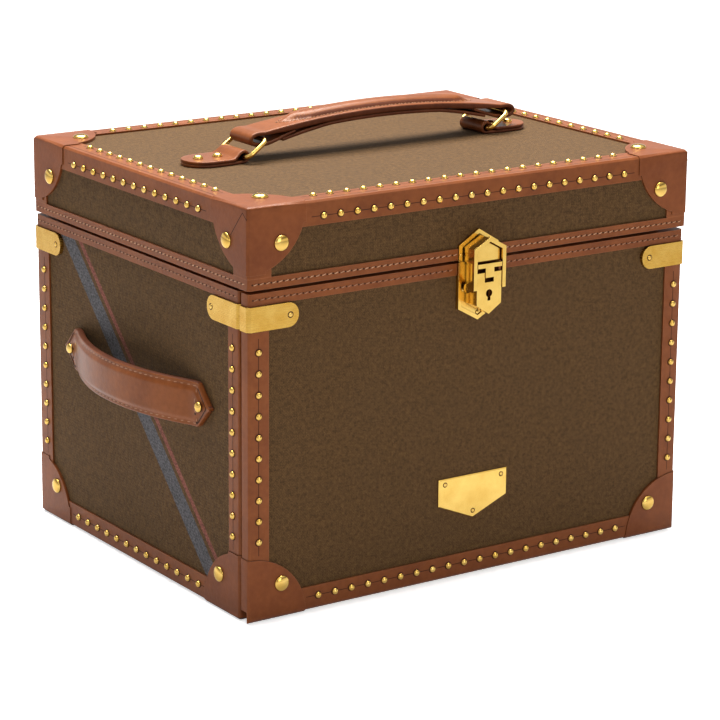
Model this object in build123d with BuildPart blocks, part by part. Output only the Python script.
from build123d import *
import os
from math import asin, atan2, cos, degrees, radians, sin, sqrt

# Trunk jewellery box: a canvas and leather covered case with a hinged lid, a drop front that
# uncovers three drawers, a fitted tray under the lid, a brass lock and leather handles.
# X runs to the right along the front, Y into the depth, Z up, origin under the middle of the base.

os.makedirs("parts", exist_ok=True)

# Closed box over the leather
box_width = 330.0
box_depth = 262.0
box_height = 254.0
seam_height = 205.0
seam_gap = 2.2
lid_overhang = 1.0
edge_cut = 0.3

# Coverings
canvas = 0.6
leather = 1.3
cap_leather = 1.9
band_fold = 0.9
suede = 0.5

# Boards
lid_wall = 8.0
lid_top_wall = 7.0
side_wall = 9.0
back_wall = 10.0
base_wall = 9.0
front_wall = 5.9
front_gap = 2.3
liner_wall = 3.0
liner_rise = 5.0
shelf_wall = 4.0
cabinet_floor_wall = 6.0
board_joint = 0.1
slide_gap = 0.3

# Leather trim
lid_strip = 15.0
side_front_strip = 12.0
post_strip = 16.0
front_post_strip = 14.0
base_strip = 16.0
under_strip = 14.0
lid_band = 7.0
case_band = 7.4
cap_radius = 40.0
cap_depth = 12.0

# Rivets and brass corner brackets
rivet_radius = 5.0
rivet_rim = 0.6
rivet_height = 1.7
rivet_crown = 0.5
rivet_side_count = 12
rivet_inset = 22.5
bracket_height = 15.0
bracket_drop = 7.6
bracket_reach = 34.0
bracket_round = 7.2
bracket_metal = 1.2
bracket_turn = 7.0

# Lid hinges and the long hinge under the drop front
hinge_spread = 190.0
hinge_length = 40.0
hinge_leaf = 1.6
hinge_leaf_height = 15.0
hinge_barrel = 2.2
hinge_pin = 1.2
hinge_setback = 0.7
pin_clearance = 0.05
knuckle_gap = 0.3
floor_gap = 0.3
pivot_round = 1.9
drop_barrel = 1.7
drop_pin = 0.8
drop_leaf = 1.2
drop_hinge_length = 240.0
drop_knuckle_count = 5
drop_leaf_height = 12.0

# Drawers
drawer_count = 3
drawer_height = 38.0
drawer_wall = 4.0
drawer_front_wall = 6.0
drawer_floor = 3.0
drawer_recess = 20.0
drawer_side_gap = 0.5
drawer_top_gap = 1.2
drawer_back_gap = 2.0
insert_height = 24.0
insert_column_count = (1, 3, 4)
insert_row_count = (1, 1, 2)
insert_floor = 1.5
insert_wall = 3.0
insert_gap = 0.3
knob_radius = 6.0
knob_reach = 11.0
knob_stem = 2.5
knob_bevel = 2.2
knob_side_count = 16
knob_spread = 150.0

# Tray under the lid
tray_height = 46.0
tray_wall = 4.0
tray_floor = 2.5
tray_divider = 3.0
tray_side_gap = 0.2
tray_column = 86.0
ring_roll = 18.0
ring_roll_gap = 0.5
ring_roll_side_count = 12

# Mirror in the lid
mirror_width = 250.0
mirror_depth = 180.0
mirror_glass = 3.0
mirror_rim = 10.0
mirror_rim_height = 4.2
lid_liner = 1.0
lid_skirt = 6.0

# Top handle
handle_bar_span = 187.0
ring_wire = 1.5
ring_wire_side_count = 8
ring_height = 16.8
ring_lean = 54.5
ring_bar = 26.0
ring_corner = 4.0
loop_radius = 4.3
loop_clearance = 0.3
handle_width = 25.0
handle_rise = 7.5
handle_thickness = 7.5
pad_length = 150.0
pad_width = 15.0
pad_rise = 4.0
pad_sink = 1.2
lining_setback = 15.0
lining_taper = 36.0
lining_lip = 2.0
tab_width = 28.0
tab_length = 38.0
tab_thickness = 4.0
tab_point = 11.0
tab_hump = 8.0
tab_rivet_radius = 3.2
tab_rivet_inset = 12.0
tab_rivet_pitch = 14.0

# Side handles
side_handle_height = 124.0
side_handle_width = 28.0
side_handle_length = 179.0
side_handle_point = 13.5
side_handle_flat = 17.5
side_handle_bend = 18.0
side_handle_rivet = 9.5
side_handle_rivet_radius = 3.4
side_handle_bow = 17.0
side_handle_leather = 5.4

# Lock, with its heights given from the seam
plate_half_width = 14.8
plate_apex_rise = 19.1
plate_shoulder_rise = 10.1
plate_hip_drop = 29.6
plate_foot_drop = 37.9
plate_face = 0.6
plate_border = 2.4
plate_recess = 0.8
plate_split = 0.4
lock_half_width = 9.2
lock_depth = 11.2
lock_hip_drop = 25.9
lock_foot_drop = 31.9
slide_bar = 2.7
slide_travel = 2.8
slide_stem = 6.4
slide_stem_length = 6.1
slide_depth = 3.0
slide_proud = 0.6
slide_clearance = 0.2
keyhole_centre_drop = 18.9
keyhole_radius = 2.4
keyhole_slot = 2.2
keyhole_drop = 4.6
keyhole_wall = 1.2
plug_radius = 4.0
plug_wall = 1.2
bail_half_width = 12.0
bail_bar = 2.5
bail_metal = 2.0
bail_apex_rise = 16.1
bail_shoulder_rise = 9.4
bail_foot = 0.3
bail_gap = 0.4
bail_pivot_drop = 15.9
bail_pivot_depth = 4.6
bail_pin = 1.0
bail_boss = 3.0
keeper_shrink = 0.6

# Name plate
name_plate_width = 52.3
name_plate_top = 66.7
name_plate_shoulder = 49.2
name_plate_foot = 38.3
name_plate_metal = 1.5
name_plate_bevel = 0.6

# Planes that the boards and coverings share
lid_x = box_width / 2 - leather - canvas
lid_y = box_depth / 2 - leather - canvas
lid_top = box_height - leather - canvas
lid_ceiling = lid_top - lid_top_wall
case_x = lid_x - lid_overhang
case_back = lid_y
front_out = lid_overhang - lid_y
front_in = front_out + front_wall
front_face = front_in + suede
case_face = front_face + front_gap
case_front = case_face + leather + canvas
case_low = cap_leather + canvas
case_top = seam_height - seam_gap
board_top = case_top - band_fold
lid_board_low = seam_height + band_fold
base_top = case_low + base_wall
case_in_x = case_x - side_wall
case_in_back = case_back - back_wall
liner_x = case_in_x - liner_wall
liner_back = case_in_back - liner_wall
covered = canvas + leather
far = box_width

# Axis of the long hinge: the lower edge of the drop front is round about it
pivot_y = front_out + pivot_round
pivot_z = floor_gap + cap_leather + canvas + pivot_round
rebate_z = pivot_z + drop_barrel + slide_clearance + drop_leaf

# Axis of the lid hinges, behind the seam
split_z = seam_height - seam_gap / 2
lid_pivot_y = case_back + canvas + hinge_setback + hinge_barrel
lid_pivot_z = split_z

# Heights of the lock
plate_apex = split_z + plate_apex_rise
plate_shoulder = split_z + plate_shoulder_rise
plate_hip = split_z - plate_hip_drop
plate_foot = split_z - plate_foot_drop
lock_hip = split_z - lock_hip_drop
lock_foot = split_z - lock_foot_drop
keyhole_height = split_z - keyhole_centre_drop
bail_apex = split_z + bail_apex_rise
bail_shoulder = split_z + bail_shoulder_rise
bail_pivot_height = split_z - bail_pivot_drop
bail_end = bail_pivot_height - bail_foot


def block(x_low, x_high, y_low, y_high, z_low, z_high):
    """Plain board between six planes."""
    with BuildPart() as board:
        with BuildSketch(Plane.XY.offset(z_low)):
            with Locations(((x_low + x_high) / 2, (y_low + y_high) / 2)):
                Rectangle(x_high - x_low, y_high - y_low)
        extrude(amount=z_high - z_low)
    return board.part


def edge_bevel(grow):
    """Bevel of a form grown by a covering, so that the covering is as thick there as elsewhere."""
    return edge_cut + grow * (2 - sqrt(2))


def lid_form(grow, low):
    """Outer form of the lid with eased edges, grown by a covering and open at the given height."""
    with BuildPart() as form:
        with BuildSketch(Plane.XY.offset(low)) as outline:
            Rectangle(2 * (lid_x + grow), 2 * (lid_y + grow))
            chamfer(outline.vertices(), edge_bevel(grow))
        extrude(amount=lid_top + grow - low)
        chamfer(form.faces().sort_by(Axis.Z)[-1].edges(), edge_bevel(grow))
    return form.part


def case_form(grow, high):
    """Outer form of the case with eased edges, grown by a covering and cut off at a height."""
    with BuildPart() as form:
        with BuildSketch(Plane.XY.offset(case_low - grow)) as outline:
            with Locations((0, (case_front + case_back) / 2)):
                Rectangle(2 * (case_x + grow), case_back - case_front + 2 * grow)
            chamfer(outline.vertices(), edge_bevel(grow))
        extrude(amount=high - case_low + grow)
        chamfer(form.faces().sort_by(Axis.Z)[0].edges(), edge_bevel(grow))
    return form.part


def front_form(grow, high):
    """Outer form of the drop front, whose lower edge is round about the hinge axis."""
    radius = pivot_round + grow
    drop = sqrt(radius**2 - pivot_round**2)
    outer = pivot_y - radius
    with BuildPart() as form:
        with BuildSketch(Plane.YZ.offset(-case_x - grow)):
            with BuildLine():
                Polyline(
                    (front_out, pivot_z - drop),
                    (front_out, rebate_z),
                    (front_in, rebate_z),
                    (front_in, high),
                    (outer, high),
                    (outer, pivot_z),
                )
                CenterArc((pivot_y, pivot_z), radius, 180, degrees(asin(drop / radius)))
            make_face()
        extrude(amount=2 * (case_x + grow))
        with BuildSketch(Plane.XY.offset(-far)) as outline:
            with Locations((0, outer + box_depth / 2)):
                Rectangle(2 * (case_x + grow), box_depth)
            chamfer(outline.vertices(), edge_bevel(grow))
        extrude(amount=2 * far, mode=Mode.INTERSECT)
    return form.part


def corner_zone(x, y, z):
    """Quarter discs about one corner of a box on the three faces that meet there."""
    with BuildPart() as zone:
        for plane in (Plane.YZ.offset(x), Plane.XZ.offset(-y), Plane.XY.offset(z)):
            with BuildSketch(plane):
                with Locations(plane.to_local_coords(Vector(x, y, z))):
                    Circle(cap_radius)
            extrude(amount=cap_depth, both=True)
    return zone.part


def rivet(x, y, z, direction, radius=rivet_radius):
    """Low brass rivet head on a face: a thin rim under a crown, both with few flat sides."""
    seat = Plane(origin=(x, y, z), z_dir=direction)
    with BuildPart() as head:
        with BuildSketch(seat):
            RegularPolygon(radius, rivet_side_count)
        extrude(amount=rivet_rim)
        with BuildSketch(seat.offset(rivet_rim)):
            RegularPolygon(radius, rivet_side_count)
        with BuildSketch(seat.offset(rivet_height)):
            RegularPolygon(rivet_crown * radius, rivet_side_count)
        loft(ruled=True)
    return head.part


# Solids that several pieces are cut by
case_room = block(-case_in_x, case_in_x, -far, case_in_back, base_top, far)
lid_in_x = lid_x - lid_wall
lid_in_y = lid_y - lid_wall
lid_room = block(-lid_in_x, lid_in_x, -lid_in_y, lid_in_y, 0, lid_ceiling)
below_lid_band = block(-far, far, -far, far, 0, seam_height + lid_band)
above_lid_band = block(-far, far, -far, far, seam_height + lid_band, far)
below_case_band = block(-far, far, -far, far, -far, case_top - case_band)
above_case_band = block(-far, far, -far, far, case_top - case_band, far)

lid_corners = [
    (sx * (lid_x + covered), sy * (lid_y + covered), box_height) for sx in (-1, 1) for sy in (-1, 1)
]
case_corners = [
    (sx * (case_x + covered), y, case_low - covered)
    for sx in (-1, 1)
    for y in (case_face, case_back + covered)
]
front_corners = [(sx * (case_x + covered), front_out - covered, floor_gap) for sx in (-1, 1)]

with BuildPart() as lid_cap_zone:
    for corner in lid_corners:
        add(corner_zone(*corner))

with BuildPart() as case_cap_zone:
    for corner in case_corners:
        add(corner_zone(*corner))

with BuildPart() as front_cap_zone:
    for x, y, z in front_corners:
        with BuildSketch(Plane.XZ):
            with Locations((x, z)):
                Circle(cap_radius)
        extrude(amount=-y + cap_depth)

hinge_y = case_back + canvas
hinge_room_height = hinge_leaf_height + hinge_barrel + knuckle_gap
with BuildPart() as hinge_room:
    for x in (-hinge_spread / 2, hinge_spread / 2):
        half = hinge_length / 2 + knuckle_gap
        low = lid_pivot_z - hinge_room_height - slide_clearance
        high = lid_pivot_z + hinge_room_height + slide_clearance
        add(block(x - half, x + half, hinge_y, far, low, high))

plate_outline = [
    (0, plate_apex),
    (plate_half_width, plate_shoulder),
    (plate_half_width, plate_hip),
    (0, plate_foot),
    (-plate_half_width, plate_hip),
    (-plate_half_width, plate_shoulder),
]
with BuildPart() as plate_room:
    with BuildSketch(Plane.XZ):
        with BuildLine():
            Polyline(*plate_outline, close=True)
        make_face()
        offset(amount=slide_clearance)
    extrude(amount=far)

# Case boards
base_form = case_form(0, base_top)
case_boards = case_form(0, board_top)

with BuildPart() as base_board:
    add(base_form)
base_board.part.label = "base_board"
export_step(base_board.part, "parts/base_board.step")

with BuildPart() as case_side_left:
    add(case_boards)
    add(block(-far, -case_in_x, -far, case_in_back, base_top, far), mode=Mode.INTERSECT)
case_side_left.part.label = "case_side_left"
export_step(case_side_left.part, "parts/case_side_left.step")

with BuildPart() as case_side_right:
    add(case_boards)
    add(block(case_in_x, far, -far, case_in_back, base_top, far), mode=Mode.INTERSECT)
case_side_right.part.label = "case_side_right"
export_step(case_side_right.part, "parts/case_side_right.step")

with BuildPart() as case_back_board:
    add(case_boards)
    add(block(-far, far, case_in_back, far, base_top, far), mode=Mode.INTERSECT)
case_back_board.part.label = "case_back"
export_step(case_back_board.part, "parts/case_back.step")

# Thin lined boards inside the case, which stand up into the lid and hide the seam
with BuildPart() as case_lining:
    liner_high = case_top + liner_rise
    liner_end = liner_back - board_joint
    add(block(-case_in_x, -liner_x, case_front, liner_end, base_top, liner_high))
    add(block(liner_x, case_in_x, case_front, liner_end, base_top, liner_high))
    add(block(-case_in_x, case_in_x, liner_back, case_in_back, base_top, liner_high))
case_lining.part.label = "case_lining"
export_step(case_lining.part, "parts/case_lining.step")

# Shelves of the drawer cabinet: floor, two boards between drawers and the shelf under the tray
drawer_face = front_face + drawer_recess
drawer_floor_z = base_top + cabinet_floor_wall
drawer_pitch = slide_gap + drawer_height + drawer_top_gap + shelf_wall
tray_low = drawer_floor_z + drawer_count * drawer_pitch
with BuildPart() as drawer_shelves:
    add(block(-liner_x, liner_x, drawer_face, liner_back, base_top, drawer_floor_z))
    for level in range(1, drawer_count + 1):
        shelf_high = drawer_floor_z + level * drawer_pitch
        shelf_low = shelf_high - shelf_wall
        add(block(-liner_x, liner_x, drawer_face, liner_back, shelf_low, shelf_high))
drawer_shelves.part.label = "drawer_shelves"
export_step(drawer_shelves.part, "parts/drawer_shelves.step")

# Canvas glued over the boards
with BuildPart() as case_canvas:
    add(case_form(canvas, board_top))
    add(case_boards, mode=Mode.SUBTRACT)
    add(case_room, mode=Mode.SUBTRACT)
case_canvas.part.label = "case_canvas"
export_step(case_canvas.part, "parts/case_canvas.step")

# Leather edge strips of the case, cut away where the canvas shows and where the caps sit
case_leather_x = case_x + covered
case_leather_back = case_back + covered
case_leather_low = case_low - covered
window_low = floor_gap + base_strip
with BuildPart() as case_edge_strips:
    add(case_form(covered, case_top))
    add(case_form(canvas, case_top), mode=Mode.SUBTRACT)
    add(case_room, mode=Mode.SUBTRACT)
    add(above_case_band, mode=Mode.SUBTRACT)
    window_front = case_face + side_front_strip
    window_back = case_leather_back - post_strip
    window_x = case_leather_x - post_strip
    add(block(-far, far, window_front, window_back, window_low, far), mode=Mode.SUBTRACT)
    add(block(-window_x, window_x, case_in_back, far, window_low, far), mode=Mode.SUBTRACT)
    under_x = case_leather_x - under_strip
    under_front = case_face + under_strip
    under_back = case_leather_back - under_strip
    add(block(-under_x, under_x, under_front, under_back, -far, base_top), mode=Mode.SUBTRACT)
    add(case_cap_zone.part, mode=Mode.SUBTRACT)
case_edge_strips.part.label = "case_edge_strips"
export_step(case_edge_strips.part, "parts/case_edge_strips.step")

with BuildPart() as case_rim_band:
    add(case_form(covered, case_top))
    add(case_form(canvas, board_top), mode=Mode.SUBTRACT)
    add(case_room, mode=Mode.SUBTRACT)
    add(below_case_band, mode=Mode.SUBTRACT)
    add(hinge_room.part, mode=Mode.SUBTRACT)
case_rim_band.part.label = "case_rim_band"
export_step(case_rim_band.part, "parts/case_rim_band.step")

with BuildPart() as case_corner_caps:
    add(case_form(canvas + cap_leather, case_top))
    add(case_form(canvas, case_top), mode=Mode.SUBTRACT)
    add(case_room, mode=Mode.SUBTRACT)
    add(case_cap_zone.part, mode=Mode.INTERSECT)
case_corner_caps.part.label = "case_corner_caps"
export_step(case_corner_caps.part, "parts/case_corner_caps.step")

# Felt pad that the box stands on, let in between the leather strips and caps
with BuildPart() as base_pad:
    pad_x = under_x - slide_clearance
    pad_front = under_front + slide_clearance
    pad_back = under_back - slide_clearance
    add(block(-pad_x, pad_x, pad_front, pad_back, 0, case_low - canvas))
    add(case_cap_zone.part, mode=Mode.SUBTRACT)
base_pad.part.label = "base_pad"
export_step(base_pad.part, "parts/base_pad.step")

# Rivets on the caps of the case and at the ends of the side handles
cap_face_x = case_x + canvas + cap_leather
cap_face_back = case_back + canvas + cap_leather
rivet_z = case_leather_low + rivet_inset
handle_rivet_y = side_handle_length / 2 - side_handle_rivet
with BuildPart() as case_rivets:
    for side in (-1, 1):
        add(rivet(side * cap_face_x, case_face + rivet_inset, rivet_z, (side, 0, 0)))
        add(rivet(side * cap_face_x, case_leather_back - rivet_inset, rivet_z, (side, 0, 0)))
        add(rivet(side * (case_leather_x - rivet_inset), cap_face_back, rivet_z, (0, 1, 0)))
        for end in (-1, 1):
            x = side * (case_x + canvas + side_handle_leather)
            y = end * handle_rivet_y
            add(rivet(x, y, side_handle_height, (side, 0, 0), side_handle_rivet_radius))
case_rivets.part.label = "case_rivets"
export_step(case_rivets.part, "parts/case_rivets.step")


def bracket_zone(plane, start, reach):
    """Bracket seen square on: a strip from its start, with the far end rounded at its reach."""
    low = case_top - bracket_drop - bracket_height
    with BuildPart() as zone:
        with BuildSketch(plane) as outline:
            with Locations((start + reach / 2, low + bracket_height / 2)):
                Rectangle(abs(reach), bracket_height)
            ends = outline.vertices().group_by(Axis.X)
            fillet(ends[-1] if reach > 0 else ends[0], bracket_round)
        extrude(amount=far)
    return zone.part


# Brass brackets: two turn round the back edges, two round the front ends of the sides
bracket_form = case_form(covered + bracket_metal, case_top)
with BuildPart() as case_brackets:
    for side in (-1, 1):
        outer_x = side * (case_leather_x + bracket_metal + 1)
        edge_x = side * case_leather_x
        deep_x = side * (case_leather_x - bracket_turn)
        near_side = block(min(outer_x, deep_x), max(outer_x, deep_x), -far, far, 0, far)
        side_plane = Plane.YZ if side > 0 else Plane.YZ.offset(-far)
        front_reach = bracket_reach + bracket_metal
        front_start = case_face - bracket_metal
        back_start = case_leather_back + bracket_metal
        with BuildPart(mode=Mode.PRIVATE) as front_corner:
            add(bracket_zone(side_plane, front_start, front_reach))
            add(near_side, mode=Mode.INTERSECT)
        with BuildPart(mode=Mode.PRIVATE) as back_corner:
            add(bracket_zone(side_plane, back_start, -front_reach))
            add(near_side, mode=Mode.INTERSECT)
        with BuildPart(mode=Mode.PRIVATE) as back_face:
            back_plane = Plane.XZ.offset(-far)
            add(bracket_zone(back_plane, edge_x + side * bracket_metal, -side * front_reach))
            near_back = case_leather_back - bracket_turn
            add(block(-far, far, near_back, far, 0, far), mode=Mode.INTERSECT)
        add(front_corner.part)
        add(back_corner.part)
        add(back_face.part)
    add(bracket_form, mode=Mode.INTERSECT)
    add(case_form(canvas, case_top), mode=Mode.SUBTRACT)
    add(case_edge_strips.part, mode=Mode.SUBTRACT)
    add(case_room, mode=Mode.SUBTRACT)
case_brackets.part.label = "case_brackets"
export_step(case_brackets.part, "parts/case_brackets.step")

# Bowed leather grab handle on each side, flat where it is riveted and pointed at its ends
with BuildPart() as side_handles:
    foot = side_handle_length / 2
    rise = foot - side_handle_flat
    for side in (-1, 1):
        inner = case_x + canvas
        with BuildSketch(Plane.XY.offset(side_handle_height - side_handle_width / 2)) as bow:
            with BuildLine():
                for step in (0, side_handle_leather):
                    foot_x = side * (inner + step)
                    crown_x = side * (inner + step + side_handle_bow)
                    ThreePointArc((foot_x, -rise), (crown_x, 0), (foot_x, rise))
                for end in (-1, 1):
                    Polyline(
                        (side * inner, end * rise),
                        (side * inner, end * foot),
                        (side * (inner + side_handle_leather), end * foot),
                        (side * (inner + side_handle_leather), end * rise),
                    )
            make_face()
            bends = [point for point in bow.vertices() if abs(abs(point.Y) - rise) < slide_gap]
            fillet(bends, side_handle_bend)
        extrude(amount=side_handle_width)
    with BuildSketch(Plane.YZ.offset(-far)):
        shoulder = foot - side_handle_point
        middle = side_handle_height
        high = middle + side_handle_width / 2
        low = middle - side_handle_width / 2
        with BuildLine():
            Polyline(
                (foot, middle),
                (shoulder, high),
                (-shoulder, high),
                (-foot, middle),
                (-shoulder, low),
                (shoulder, low),
                close=True,
            )
        make_face()
    extrude(amount=2 * far, mode=Mode.INTERSECT)
side_handles.part.label = "side_handles"
export_step(side_handles.part, "parts/side_handles.step")

# Tray under the lid: a column for rings, a wide column with two bays and one with three
tray_x = liner_x - tray_side_gap
tray_back = liner_back - tray_side_gap
tray_in_x = tray_x - tray_wall
tray_in_front = drawer_face + tray_wall
tray_in_back = tray_back - tray_wall
tray_in_low = tray_low + tray_floor
tray_high = tray_low + tray_height
column_edge = tray_in_x - tray_column


def tray_bays(x_low, x_high, count):
    """Equal bays, front to back, between two side walls of the tray."""
    room = tray_in_back - tray_in_front
    size = (room - (count - 1) * tray_divider) / count
    with BuildPart() as bays:
        for index in range(count):
            y_low = tray_in_front + index * (size + tray_divider)
            add(block(x_low, x_high, y_low, y_low + size, tray_in_low, tray_high))
    return bays.part


with BuildPart() as tray:
    add(block(-tray_x, tray_x, drawer_face, tray_back, tray_low, tray_high))
    add(tray_bays(-tray_in_x, -column_edge, 1), mode=Mode.SUBTRACT)
    middle = column_edge - tray_divider
    add(tray_bays(-middle, middle, 2), mode=Mode.SUBTRACT)
    add(tray_bays(column_edge, tray_in_x, 3), mode=Mode.SUBTRACT)
tray.part.label = "tray"
export_step(tray.part, "parts/tray.step")

# Padded rolls that hold rings between them
with BuildPart() as ring_rolls:
    roll_pitch = ring_roll + ring_roll_gap
    roll_count = int((tray_in_back - tray_in_front - ring_roll_gap) / roll_pitch)
    roll_start = (tray_in_front + tray_in_back - (roll_count - 1) * roll_pitch) / 2
    for index in range(roll_count):
        with BuildSketch(Plane.YZ.offset(-tray_in_x + ring_roll_gap)):
            with Locations((roll_start + index * roll_pitch, tray_in_low + ring_roll / 2)):
                RegularPolygon(ring_roll / 2, ring_roll_side_count, major_radius=False, rotation=15)
        extrude(amount=tray_column - 2 * ring_roll_gap)
ring_rolls.part.label = "ring_rolls"
export_step(ring_rolls.part, "parts/ring_rolls.step")

# Lid boards
lid_boards = lid_form(0, lid_board_low)

with BuildPart() as lid_top_board:
    add(lid_boards)
    add(block(-far, far, -far, far, lid_ceiling, far), mode=Mode.INTERSECT)
lid_top_board.part.label = "lid_top_board"
export_step(lid_top_board.part, "parts/lid_top_board.step")

with BuildPart() as lid_walls:
    add(lid_boards)
    add(block(-far, far, -far, far, 0, lid_ceiling), mode=Mode.INTERSECT)
    add(lid_room, mode=Mode.SUBTRACT)
    for x in (-1, 1):
        for y in (-1, 1):
            joint_y = y * (lid_in_y - board_joint / 2)
            low_x = min(x * lid_in_x, x * far)
            high_x = max(x * lid_in_x, x * far)
            half = board_joint / 2
            add(block(low_x, high_x, joint_y - half, joint_y + half, 0, far), mode=Mode.SUBTRACT)
lid_walls.part.label = "lid_walls"
export_step(lid_walls.part, "parts/lid_walls.step")

with BuildPart() as lid_canvas:
    add(lid_form(canvas, lid_board_low))
    add(lid_boards, mode=Mode.SUBTRACT)
lid_canvas.part.label = "lid_canvas"
export_step(lid_canvas.part, "parts/lid_canvas.step")

# Leather on the lid
lid_leather_x = lid_x + covered
lid_leather_y = lid_y + covered
lid_band_top = seam_height + lid_band
with BuildPart() as lid_edge_strips:
    add(lid_form(covered, lid_band_top))
    add(lid_form(canvas, lid_band_top), mode=Mode.SUBTRACT)
    top_x = lid_leather_x - lid_strip
    top_y = lid_leather_y - lid_strip
    face_high = box_height - lid_strip
    add(block(-top_x, top_x, -top_y, top_y, lid_ceiling, far), mode=Mode.SUBTRACT)
    post_x = lid_leather_x - post_strip
    post_y = lid_leather_y - post_strip
    add(block(-post_x, post_x, -far, far, 0, face_high), mode=Mode.SUBTRACT)
    add(block(-far, far, -post_y, post_y, 0, face_high), mode=Mode.SUBTRACT)
    add(lid_cap_zone.part, mode=Mode.SUBTRACT)
lid_edge_strips.part.label = "lid_edge_strips"
export_step(lid_edge_strips.part, "parts/lid_edge_strips.step")

with BuildPart() as lid_rim_band:
    add(lid_form(covered, seam_height))
    add(lid_form(canvas, lid_board_low), mode=Mode.SUBTRACT)
    add(lid_room, mode=Mode.SUBTRACT)
    add(above_lid_band, mode=Mode.SUBTRACT)
    add(hinge_room.part, mode=Mode.SUBTRACT)
    add(plate_room.part, mode=Mode.SUBTRACT)
lid_rim_band.part.label = "lid_rim_band"
export_step(lid_rim_band.part, "parts/lid_rim_band.step")

with BuildPart() as lid_corner_caps:
    add(lid_form(canvas + cap_leather, lid_band_top))
    add(lid_form(canvas, lid_band_top), mode=Mode.SUBTRACT)
    add(lid_cap_zone.part, mode=Mode.INTERSECT)
lid_corner_caps.part.label = "lid_corner_caps"
export_step(lid_corner_caps.part, "parts/lid_corner_caps.step")

# Lining of the lid, with a skirt that hangs behind the top of the drop front
with BuildPart() as lid_lining:
    inner_x = lid_in_x - lid_liner
    inner_y = lid_in_y - lid_liner
    skirt_x = liner_x - drawer_side_gap
    skirt_low = seam_height - lid_skirt
    add(block(-lid_in_x, lid_in_x, -lid_in_y, lid_in_y, lid_board_low, lid_ceiling))
    add(block(-skirt_x, skirt_x, -lid_in_y, -inner_y, skirt_low, lid_ceiling))
    room_top = lid_ceiling - lid_liner
    add(block(-inner_x, inner_x, -inner_y, inner_y, 0, room_top), mode=Mode.SUBTRACT)
lid_lining.part.label = "lid_lining"
export_step(lid_lining.part, "parts/lid_lining.step")

mirror_high = lid_ceiling - lid_liner
with BuildPart() as lid_mirror:
    with BuildSketch(Plane.XY.offset(mirror_high - mirror_glass)):
        Rectangle(mirror_width, mirror_depth)
    extrude(amount=mirror_glass)
lid_mirror.part.label = "lid_mirror"
export_step(lid_mirror.part, "parts/lid_mirror.step")

with BuildPart() as lid_mirror_frame:
    with BuildSketch(Plane.XY.offset(mirror_high - mirror_rim_height)):
        Rectangle(mirror_width + 2 * mirror_rim, mirror_depth + 2 * mirror_rim)
        Rectangle(mirror_width - mirror_rim, mirror_depth - mirror_rim, mode=Mode.SUBTRACT)
    extrude(amount=mirror_rim_height)
    add(lid_mirror.part, mode=Mode.SUBTRACT)
lid_mirror_frame.part.label = "lid_mirror_frame"
export_step(lid_mirror_frame.part, "parts/lid_mirror_frame.step")

# Rivets: three on each lid cap, two on each tab of the top handle
canvas_top = lid_top + canvas
loop_z = canvas_top + loop_radius
tab_tip = handle_bar_span / 2 + tab_length
with BuildPart() as lid_rivets:
    for side in (-1, 1):
        rivet_x = side * (lid_leather_x - rivet_inset)
        cap_x = side * (lid_x + canvas + cap_leather)
        for end in (-1, 1):
            rivet_y = end * (lid_leather_y - rivet_inset)
            cap_y = end * (lid_y + canvas + cap_leather)
            cap_z = lid_top + canvas + cap_leather
            side_z = box_height - rivet_inset
            add(rivet(rivet_x, rivet_y, cap_z, (0, 0, 1)))
            add(rivet(cap_x, rivet_y, side_z, (side, 0, 0)))
            add(rivet(rivet_x, cap_y, side_z, (0, end, 0)))
        for index in range(2):
            tab_x = side * (tab_tip - tab_rivet_inset - index * tab_rivet_pitch)
            add(rivet(tab_x, 0, canvas_top + tab_thickness, (0, 0, 1), tab_rivet_radius))
lid_rivets.part.label = "lid_rivets"
export_step(lid_rivets.part, "parts/lid_rivets.step")


def tube(y, z, x_low, x_high, radius, bore):
    """Knuckle of a hinge about an axis along X."""
    with BuildPart() as knuckle:
        with BuildSketch(Plane.YZ.offset(x_low)):
            with Locations((y, z)):
                Circle(radius)
                Circle(bore, mode=Mode.SUBTRACT)
        extrude(amount=x_high - x_low)
    return knuckle.part


# Lid hinges: the case leaves carry the two outer knuckles, the lid leaves the middle one
leaf_gap = hinge_barrel + knuckle_gap
third = hinge_length / 3
hinge_centres = (-hinge_spread / 2, hinge_spread / 2)
leaf_back = hinge_y + hinge_leaf
bore_radius = hinge_pin + pin_clearance

with BuildPart() as lid_hinge_leaves:
    leaf_low = lid_pivot_z + leaf_gap
    for x in hinge_centres:
        half = hinge_length / 2
        leaf_high = leaf_low + hinge_leaf_height
        middle_low = x - third / 2 + knuckle_gap / 2
        middle_high = x + third / 2 - knuckle_gap / 2
        add(block(x - half, x + half, hinge_y, leaf_back, leaf_low, leaf_high))
        add(block(middle_low, middle_high, hinge_y, lid_pivot_y, lid_pivot_z, leaf_low))
        add(tube(lid_pivot_y, lid_pivot_z, middle_low, middle_high, hinge_barrel, bore_radius))
        with BuildSketch(Plane.YZ.offset(x - half)):
            with Locations((lid_pivot_y, lid_pivot_z)):
                Circle(bore_radius)
        extrude(amount=hinge_length, mode=Mode.SUBTRACT)
lid_hinge_leaves.part.label = "lid_hinge_leaves"
export_step(lid_hinge_leaves.part, "parts/lid_hinge_leaves.step")

# Leaves fixed to the case, among them the long one that carries the drop front
drop_pitch = drop_hinge_length / drop_knuckle_count
drop_bore = drop_pin + pin_clearance
web_low = pivot_z - drop_leaf / 2
web_high = pivot_z + drop_leaf / 2


def drop_knuckle_spans(first):
    """Every second knuckle of the long hinge, from the first one given."""
    spans = []
    for index in range(first, drop_knuckle_count, 2):
        low = -drop_hinge_length / 2 + index * drop_pitch
        spans.append((low + knuckle_gap / 2, low + drop_pitch - knuckle_gap / 2))
    return spans


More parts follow.
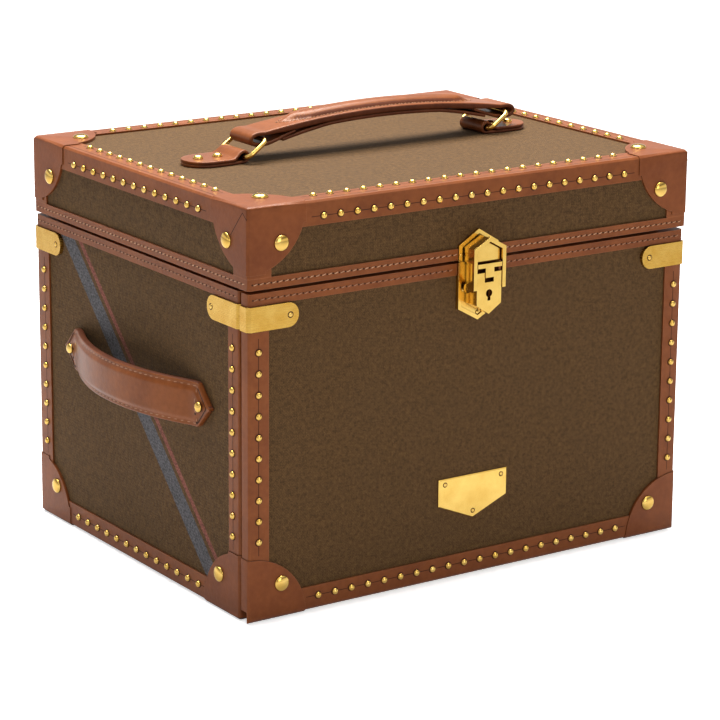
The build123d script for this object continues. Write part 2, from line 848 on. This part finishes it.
def drop_bore_cut():
    """Room for the pin of the long hinge."""
    with BuildPart() as cut:
        with BuildSketch(Plane.YZ.offset(-drop_hinge_length / 2)):
            with Locations((pivot_y, pivot_z)):
                Circle(drop_bore)
        extrude(amount=drop_hinge_length)
    return cut.part


with BuildPart() as case_hinge_leaves:
    leaf_high = lid_pivot_z - leaf_gap
    for x in hinge_centres:
        half = hinge_length / 2
        leaf_low = leaf_high - hinge_leaf_height
        add(block(x - half, x + half, hinge_y, leaf_back, leaf_low, leaf_high))
        for side in (-1, 1):
            inner_x = x + side * (third / 2 + knuckle_gap / 2)
            outer_x = x + side * half
            low_x = min(inner_x, outer_x)
            high_x = max(inner_x, outer_x)
            add(block(low_x, high_x, hinge_y, lid_pivot_y, leaf_high, lid_pivot_z))
            add(tube(lid_pivot_y, lid_pivot_z, low_x, high_x, hinge_barrel, bore_radius))
        with BuildSketch(Plane.YZ.offset(x - half)):
            with Locations((lid_pivot_y, lid_pivot_z)):
                Circle(bore_radius)
        extrude(amount=hinge_length, mode=Mode.SUBTRACT)
    half = drop_hinge_length / 2
    plate_low = case_face - drop_leaf
    web_front = pivot_y + drop_barrel + knuckle_gap
    add(block(-half, half, plate_low, case_face, web_low, web_low + drop_leaf_height))
    add(block(-half, half, web_front, case_face, web_low, web_high))
    for low_x, high_x in drop_knuckle_spans(0):
        add(block(low_x, high_x, pivot_y, web_front, web_low, web_high))
        add(tube(pivot_y, pivot_z, low_x, high_x, drop_barrel, drop_bore))
    add(drop_bore_cut(), mode=Mode.SUBTRACT)
case_hinge_leaves.part.label = "case_hinge_leaves"
export_step(case_hinge_leaves.part, "parts/case_hinge_leaves.step")

with BuildPart() as hinge_pins:
    for x in hinge_centres:
        with BuildSketch(Plane.YZ.offset(x - hinge_length / 2)):
            with Locations((lid_pivot_y, lid_pivot_z)):
                Circle(hinge_pin)
        extrude(amount=hinge_length)
    with BuildSketch(Plane.YZ.offset(-drop_hinge_length / 2)):
        with Locations((pivot_y, pivot_z)):
            Circle(drop_pin)
    extrude(amount=drop_hinge_length)
hinge_pins.part.label = "hinge_pins"
export_step(hinge_pins.part, "parts/hinge_pins.step")

with BuildPart() as front_hinge_leaf:
    half = drop_hinge_length / 2
    leaf_low = rebate_z - drop_leaf
    add(block(-half, half, pivot_y - drop_leaf, front_in, leaf_low, rebate_z))
    for low_x, high_x in drop_knuckle_spans(1):
        half_leaf = drop_leaf / 2
        add(block(low_x, high_x, pivot_y - half_leaf, pivot_y + half_leaf, pivot_z, leaf_low))
        add(tube(pivot_y, pivot_z, low_x, high_x, drop_barrel, drop_bore))
    add(drop_bore_cut(), mode=Mode.SUBTRACT)
front_hinge_leaf.part.label = "front_hinge_leaf"
export_step(front_hinge_leaf.part, "parts/front_hinge_leaf.step")

# Top handle: a strap between two wire rings, each held by a folded leather tab on the lid
lean = radians(ring_lean)
ring_shift = ring_height * sin(lean)
ring_climb = ring_height * cos(lean)
eye_radius = ring_wire + loop_clearance

for name, side in (("handle_ring_left", -1), ("handle_ring_right", 1)):
    ring_plane = Plane(
        origin=(side * handle_bar_span / 2, 0, loop_z),
        x_dir=(0, 1, 0),
        z_dir=(cos(lean), 0, -sin(lean)),
    )
    with BuildPart() as handle_ring:
        with BuildLine(ring_plane) as ring_path:
            reach = ring_bar / 2 + ring_corner
            FilletPolyline(
                (-reach, 0),
                (reach, 0),
                (reach, ring_height),
                (-reach, ring_height),
                radius=ring_corner,
                close=True,
            )
        with BuildSketch(Plane(origin=ring_path.line @ 0, z_dir=ring_path.line % 0)):
            RegularPolygon(ring_wire, ring_wire_side_count)
        sweep()
    handle_ring.part.label = name
    export_step(handle_ring.part, "parts/" + name + ".step")

with BuildPart() as handle_tabs:
    for side in (-1, 1):
        loop_x = side * handle_bar_span / 2
        tip_x = side * tab_tip
        with BuildSketch(Plane.XZ):
            with BuildLine():
                Polyline(
                    (tip_x, canvas_top),
                    (loop_x, canvas_top),
                    (loop_x, canvas_top + 2 * loop_radius),
                    (loop_x + side * tab_hump, canvas_top + tab_thickness),
                    (tip_x, canvas_top + tab_thickness),
                    close=True,
                )
            make_face()
            with Locations((loop_x, loop_z)):
                Circle(loop_radius)
                Circle(eye_radius, mode=Mode.SUBTRACT)
        extrude(amount=tab_width / 2, both=True)
    with BuildSketch(Plane.XY.offset(canvas_top)) as tab_outline:
        for side in (-1, 1):
            loop_x = side * handle_bar_span / 2
            wide = tab_width / 2
            narrow = handle_width / 2
            with BuildLine():
                Polyline(
                    (side * tab_tip, 0),
                    (side * (tab_tip - tab_point), wide),
                    (loop_x + side * tab_hump, wide),
                    (loop_x + side * loop_radius, narrow),
                    (loop_x - side * loop_radius, narrow),
                    (loop_x - side * loop_radius, -narrow),
                    (loop_x + side * loop_radius, -narrow),
                    (loop_x + side * tab_hump, -wide),
                    (side * (tab_tip - tab_point), -wide),
                    close=True,
                )
            make_face()
        points = tab_outline.vertices().group_by(Axis.X)
        fillet(points[0] + points[-1], tab_point / 2)
    extrude(amount=far, mode=Mode.INTERSECT)
handle_tabs.part.label = "handle_tabs"
export_step(handle_tabs.part, "parts/handle_tabs.step")

with BuildPart() as handle_strap:
    left_x = ring_shift - handle_bar_span / 2
    right_x = ring_shift + handle_bar_span / 2
    eye_z = loop_z + ring_climb
    strap_top = eye_z + loop_radius
    strap_low = eye_z - loop_radius
    peak_z = strap_top + handle_rise
    with BuildSketch(Plane.XZ):
        with BuildLine():
            ThreePointArc((left_x, strap_top), (ring_shift, peak_z), (right_x, strap_top))
            ThreePointArc((right_x, strap_top), (right_x + loop_radius, eye_z), (right_x, strap_low))
            belly = (ring_shift, peak_z - handle_thickness)
            ThreePointArc((right_x, strap_low), belly, (left_x, strap_low))
            ThreePointArc((left_x, strap_low), (left_x - loop_radius, eye_z), (left_x, strap_top))
        make_face()
        with Locations((left_x, eye_z), (right_x, eye_z)):
            Circle(eye_radius, mode=Mode.SUBTRACT)
    extrude(amount=handle_width / 2, both=True)
    chord = handle_bar_span / 2
    bend = (chord**2 + handle_rise**2) / (2 * handle_rise)
    pad_end_z = peak_z - bend + sqrt(bend**2 - (pad_length / 2) ** 2)
    with BuildSketch(Plane.XZ):
        with BuildLine():
            pad_left = (ring_shift - pad_length / 2, pad_end_z - pad_sink)
            pad_right = (ring_shift + pad_length / 2, pad_end_z - pad_sink)
            ThreePointArc(pad_left, (ring_shift, peak_z + pad_rise), pad_right)
            ThreePointArc(pad_left, (ring_shift, peak_z - pad_sink), pad_right)
        make_face()
    extrude(amount=pad_width / 2, both=True)
    belly_rise = peak_z - handle_thickness - strap_low
    belly_bend = (chord**2 + belly_rise**2) / (2 * belly_rise)
    belly_middle = peak_z - handle_thickness - belly_bend
    lining_end = chord - lining_setback
    lining_start = lining_end - lining_taper
    end_z = belly_middle + sqrt(belly_bend**2 - lining_end**2)
    start_z = belly_middle + sqrt(belly_bend**2 - lining_start**2)
    for side in (-1, 1):
        with BuildSketch(Plane.XZ):
            with BuildLine():
                Polyline(
                    (ring_shift + side * lining_end, end_z - lining_lip),
                    (ring_shift + side * lining_end, end_z + lining_lip),
                    (ring_shift + side * lining_start, start_z + lining_lip),
                    (ring_shift + side * lining_start, start_z),
                    close=True,
                )
            make_face()
        extrude(amount=handle_width / 2, both=True)
handle_strap.part.label = "handle_strap"
export_step(handle_strap.part, "parts/handle_strap.step")

# Drop front
with BuildPart() as front_board:
    add(block(-case_x, case_x, front_out, front_in, rebate_z, board_top))
    chamfer(front_board.edges().filter_by(Axis.Z).group_by(Axis.Y)[0], edge_cut)
front_board.part.label = "front_board"
export_step(front_board.part, "parts/front_board.step")

with BuildPart() as front_canvas:
    add(front_form(canvas, board_top))
    add(front_board.part, mode=Mode.SUBTRACT)
front_canvas.part.label = "front_canvas"
export_step(front_canvas.part, "parts/front_canvas.step")

with BuildPart() as front_lining:
    add(
        block(
            insert_wall - case_x,
            case_x - insert_wall,
            front_in,
            front_face,
            rebate_z + suede,
            board_top - suede,
        )
    )
front_lining.part.label = "front_lining"
export_step(front_lining.part, "parts/front_lining.step")

with BuildPart() as front_edge_strips:
    add(front_form(covered, case_top))
    add(front_form(canvas, case_top), mode=Mode.SUBTRACT)
    window_x = case_leather_x - front_post_strip
    add(block(-window_x, window_x, -far, front_in, window_low, far), mode=Mode.SUBTRACT)
    add(above_case_band, mode=Mode.SUBTRACT)
    add(front_cap_zone.part, mode=Mode.SUBTRACT)
front_edge_strips.part.label = "front_edge_strips"
export_step(front_edge_strips.part, "parts/front_edge_strips.step")

with BuildPart() as front_rim_band:
    add(front_form(covered, case_top))
    add(front_form(canvas, board_top), mode=Mode.SUBTRACT)
    add(below_case_band, mode=Mode.SUBTRACT)
    add(plate_room.part, mode=Mode.SUBTRACT)
front_rim_band.part.label = "front_rim_band"
export_step(front_rim_band.part, "parts/front_rim_band.step")

with BuildPart() as front_corner_caps:
    add(front_form(canvas + cap_leather, case_top))
    add(front_form(canvas, case_top), mode=Mode.SUBTRACT)
    add(front_cap_zone.part, mode=Mode.INTERSECT)
front_corner_caps.part.label = "front_corner_caps"
export_step(front_corner_caps.part, "parts/front_corner_caps.step")

with BuildPart() as front_rivets:
    for side in (-1, 1):
        rivet_x = side * (case_leather_x - rivet_inset)
        cap_y = front_out - canvas - cap_leather
        add(rivet(rivet_x, cap_y, floor_gap + rivet_inset, (0, -1, 0)))
front_rivets.part.label = "front_rivets"
export_step(front_rivets.part, "parts/front_rivets.step")

with BuildPart() as front_brackets:
    for side in (-1, 1):
        start = side * (case_leather_x + bracket_metal)
        add(bracket_zone(Plane.XZ, start, -side * (bracket_reach + bracket_metal)))
    add(front_form(covered + bracket_metal, case_top), mode=Mode.INTERSECT)
    add(front_form(canvas, case_top), mode=Mode.SUBTRACT)
    add(front_edge_strips.part, mode=Mode.SUBTRACT)
front_brackets.part.label = "front_brackets"
export_step(front_brackets.part, "parts/front_brackets.step")

# Bare brass name plate
with BuildPart() as name_plate:
    half = name_plate_width / 2
    plate_base = canvas - front_out
    with BuildSketch(Plane.XZ.offset(plate_base)):
        with BuildLine():
            Polyline(
                (-half, name_plate_top),
                (half, name_plate_top),
                (half, name_plate_shoulder),
                (0, name_plate_foot),
                (-half, name_plate_shoulder),
                close=True,
            )
        make_face()
    extrude(amount=name_plate_metal)
    chamfer(name_plate.faces().sort_by(Axis.Y)[0].edges(), name_plate_bevel)
name_plate.part.label = "name_plate"
export_step(name_plate.part, "parts/name_plate.step")

# Lock: a long hexagonal plate that is parted at the seam, half on the drop front, half on the lid
plate_y = -lid_leather_y - plate_face
recess_y = plate_y + plate_recess

def lock_plate(base_y, z_low, z_high):
    """Part of the hexagonal plate between two heights, with its sunk field."""
    with BuildPart() as plate:
        with BuildSketch(Plane.XZ.offset(-base_y)):
            with BuildLine():
                Polyline(*plate_outline, close=True)
            make_face()
        extrude(amount=base_y - plate_y)
        with BuildSketch(Plane.XZ.offset(-recess_y)):
            with BuildLine():
                Polyline(*plate_outline, close=True)
            make_face()
            offset(amount=-plate_border)
        extrude(amount=plate_recess, mode=Mode.SUBTRACT)
        add(block(-far, far, -far, far, z_low, z_high), mode=Mode.INTERSECT)
    return plate.part


with BuildPart() as lock_backplate:
    add(lock_plate(front_out - canvas, 0, split_z - plate_split / 2))
lock_backplate.part.label = "lock_backplate"
export_step(lock_backplate.part, "parts/lock_backplate.step")

lock_front = plate_y - lock_depth
bail_front = lock_front - slide_proud
bail_back = bail_front + bail_metal
bail_slope = (bail_apex - bail_shoulder) / bail_half_width
bar_drop = bail_bar * sqrt(1 + bail_slope**2)

# Keeper on the lid: the upper plate with a gabled block that stands behind the bail
with BuildPart() as lock_keeper:
    keeper_half = bail_half_width - keeper_shrink
    keeper_apex = bail_apex - keeper_shrink * sqrt(1 + bail_slope**2)
    keeper_shoulder = keeper_apex - keeper_half * bail_slope
    keeper_low = split_z + plate_split / 2
    keeper_front = bail_back + bail_gap
    add(lock_plate(-lid_y - canvas, keeper_low, far))
    with BuildSketch(Plane.XZ.offset(-recess_y)):
        with BuildLine():
            Polyline(
                (0, keeper_apex),
                (keeper_half, keeper_shoulder),
                (keeper_half, keeper_low),
                (-keeper_half, keeper_low),
                (-keeper_half, keeper_shoulder),
                close=True,
            )
        make_face()
    extrude(amount=recess_y - keeper_front)
lock_keeper.part.label = "lock_keeper"
export_step(lock_keeper.part, "parts/lock_keeper.step")

# Lock case with the T-shaped seat of the thumb slide, the keyhole and the room for the plug
slide_top = split_z - plate_split / 2
bar_low = slide_top - slide_bar
stem_low = bar_low - slide_stem_length
seat_y = lock_front + slide_depth
with BuildPart() as lock_case:
    with BuildSketch(Plane.XZ.offset(-recess_y)):
        with BuildLine():
            Polyline(
                (lock_half_width, slide_top),
                (lock_half_width, lock_hip),
                (0, lock_foot),
                (-lock_half_width, lock_hip),
                (-lock_half_width, slide_top),
                close=True,
            )
        make_face()
    extrude(amount=recess_y - lock_front)
    with BuildSketch(Plane.XZ.offset(-seat_y)):
        with Locations((0, slide_top)):
            Rectangle(far, 2 * (slide_bar + slide_travel + slide_clearance))
        stem_room = stem_low - slide_travel - slide_clearance
        with Locations((0, (slide_top + stem_room) / 2)):
            Rectangle(slide_stem + 2 * slide_clearance, slide_top - stem_room)
    extrude(amount=far, mode=Mode.SUBTRACT)
    with BuildSketch(Plane.XZ.offset(-recess_y)):
        with Locations((0, keyhole_height)):
            Circle(plug_radius + pin_clearance)
    extrude(amount=recess_y - lock_front - keyhole_wall, mode=Mode.SUBTRACT)
    with BuildSketch(Plane.XZ.offset(-recess_y)):
        with Locations((0, keyhole_height)):
            Circle(keyhole_radius)
        with Locations((0, keyhole_height - keyhole_drop / 2)):
            Rectangle(keyhole_slot, keyhole_drop)
    extrude(amount=far, mode=Mode.SUBTRACT)
    bail_pivot_y = plate_y - bail_pivot_depth
    with BuildSketch(Plane.YZ.offset(-far)):
        with Locations((bail_pivot_y, bail_pivot_height)):
            Circle(bail_pin)
    extrude(amount=2 * far, mode=Mode.SUBTRACT)
lock_case.part.label = "lock_case"
export_step(lock_case.part, "parts/lock_case.step")

with BuildPart() as thumb_slide:
    slide_back = seat_y - slide_clearance
    slide_half = lock_half_width - slide_clearance
    with BuildSketch(Plane.XZ.offset(-slide_back)):
        with Locations((0, slide_top - slide_bar / 2)):
            Rectangle(2 * slide_half, slide_bar)
        with Locations((0, (slide_top + stem_low) / 2)):
            Rectangle(slide_stem, slide_top - stem_low)
    extrude(amount=slide_back - bail_front)
thumb_slide.part.label = "thumb_slide"
export_step(thumb_slide.part, "parts/thumb_slide.step")

with BuildPart() as key_plug:
    plug_front = lock_front + keyhole_wall + slide_clearance
    with BuildSketch(Plane.XZ.offset(-recess_y + slide_clearance)):
        with Locations((0, keyhole_height)):
            Circle(plug_radius)
    extrude(amount=recess_y - plug_front - slide_clearance)
    with BuildSketch(Plane.XZ.offset(-plug_front)):
        with Locations((0, keyhole_height)):
            Rectangle(keyhole_wall, plug_radius + keyhole_radius)
    extrude(amount=-slide_depth, mode=Mode.SUBTRACT)
key_plug.part.label = "key_plug"
export_step(key_plug.part, "parts/key_plug.step")

with BuildPart() as lock_bail:
    with BuildSketch(Plane.XZ.offset(-bail_back)):
        with BuildLine():
            Polyline(
                (0, bail_apex),
                (bail_half_width, bail_shoulder),
                (bail_half_width, bail_end),
                (-bail_half_width, bail_end),
                (-bail_half_width, bail_shoulder),
                close=True,
            )
        make_face()
        inner_half = bail_half_width - bail_bar
        inner_apex = bail_apex - bar_drop
        with BuildLine():
            Polyline(
                (0, inner_apex),
                (inner_half, inner_apex - inner_half * bail_slope),
                (inner_half, 0),
                (-inner_half, 0),
                (-inner_half, inner_apex - inner_half * bail_slope),
                close=True,
            )
        make_face(mode=Mode.SUBTRACT)
    extrude(amount=bail_metal)
    for side in (-1, 1):
        with BuildSketch(Plane.YZ.offset(min(side * inner_half, side * bail_half_width))):
            with BuildLine():
                Polyline(
                    (bail_front, bail_end),
                    (bail_pivot_y, bail_pivot_height - bail_boss),
                    (bail_pivot_y, bail_pivot_height + bail_boss),
                    (bail_back, bail_pivot_height + 2 * bail_boss),
                    (bail_front, bail_pivot_height + 2 * bail_boss),
                    close=True,
                )
            make_face()
            with Locations((bail_pivot_y, bail_pivot_height)):
                Circle(bail_boss)
                Circle(bail_pin + pin_clearance, mode=Mode.SUBTRACT)
        extrude(amount=bail_bar)
lock_bail.part.label = "lock_bail"
export_step(lock_bail.part, "parts/lock_bail.step")

with BuildPart() as bail_pins:
    stub_inner = plug_radius + plug_wall
    stub_outer = bail_half_width + slide_clearance
    for side in (-1, 1):
        with BuildSketch(Plane.YZ.offset(min(side * stub_inner, side * stub_outer))):
            with Locations((bail_pivot_y, bail_pivot_height)):
                Circle(bail_pin)
        extrude(amount=stub_outer - stub_inner)
bail_pins.part.label = "bail_pins"
export_step(bail_pins.part, "parts/bail_pins.step")

# Drawers, from the lowest up, with velvet inserts parted into bays and brass knobs
drawer_x = liner_x - drawer_side_gap
drawer_back = liner_back - drawer_back_gap

for level in range(drawer_count):
    low = drawer_floor_z + level * drawer_pitch + slide_gap
    high = low + drawer_height
    in_front = drawer_face + drawer_front_wall
    in_back = drawer_back - drawer_wall
    in_x = drawer_x - drawer_wall
    in_low = low + drawer_floor
    name = "drawer_" + str(level + 1)
    with BuildPart() as drawer_box:
        add(block(-drawer_x, drawer_x, drawer_face, drawer_back, low, high))
        add(block(-in_x, in_x, in_front, in_back, in_low, far), mode=Mode.SUBTRACT)
    drawer_box.part.label = name + "_box"
    export_step(drawer_box.part, "parts/" + name + "_box.step")

    columns = insert_column_count[level % len(insert_column_count)]
    rows = insert_row_count[level % len(insert_row_count)]
    pad_x = in_x - insert_gap
    pad_front = in_front + insert_gap
    pad_back = in_back - insert_gap
    bay_x = (2 * pad_x - (columns + 1) * insert_wall) / columns
    bay_y = (pad_back - pad_front - (rows + 1) * insert_wall) / rows
    bay_low = in_low + insert_floor
    with BuildPart() as drawer_insert:
        add(block(-pad_x, pad_x, pad_front, pad_back, in_low, in_low + insert_height))
        for column in range(columns):
            for row in range(rows):
                x = -pad_x + insert_wall + column * (bay_x + insert_wall)
                y = pad_front + insert_wall + row * (bay_y + insert_wall)
                add(block(x, x + bay_x, y, y + bay_y, bay_low, far), mode=Mode.SUBTRACT)
    drawer_insert.part.label = name + "_insert"
    export_step(drawer_insert.part, "parts/" + name + "_insert.step")

    with BuildPart() as drawer_knobs:
        for x in (-knob_spread / 2, knob_spread / 2):
            knob_plane = Plane(origin=(x, drawer_face, (low + high) / 2), z_dir=(0, -1, 0))
            with BuildSketch(knob_plane):
                RegularPolygon(knob_stem, knob_side_count)
            extrude(amount=knob_reach / 2)
            with BuildSketch(knob_plane.offset(knob_reach / 2)):
                RegularPolygon(knob_radius, knob_side_count)
            extrude(amount=knob_reach / 2)
        chamfer(drawer_knobs.faces().group_by(Axis.Y)[0].edges(), knob_bevel)
    drawer_knobs.part.label = name + "_knobs"
    export_step(drawer_knobs.part, "parts/" + name + "_knobs.step")
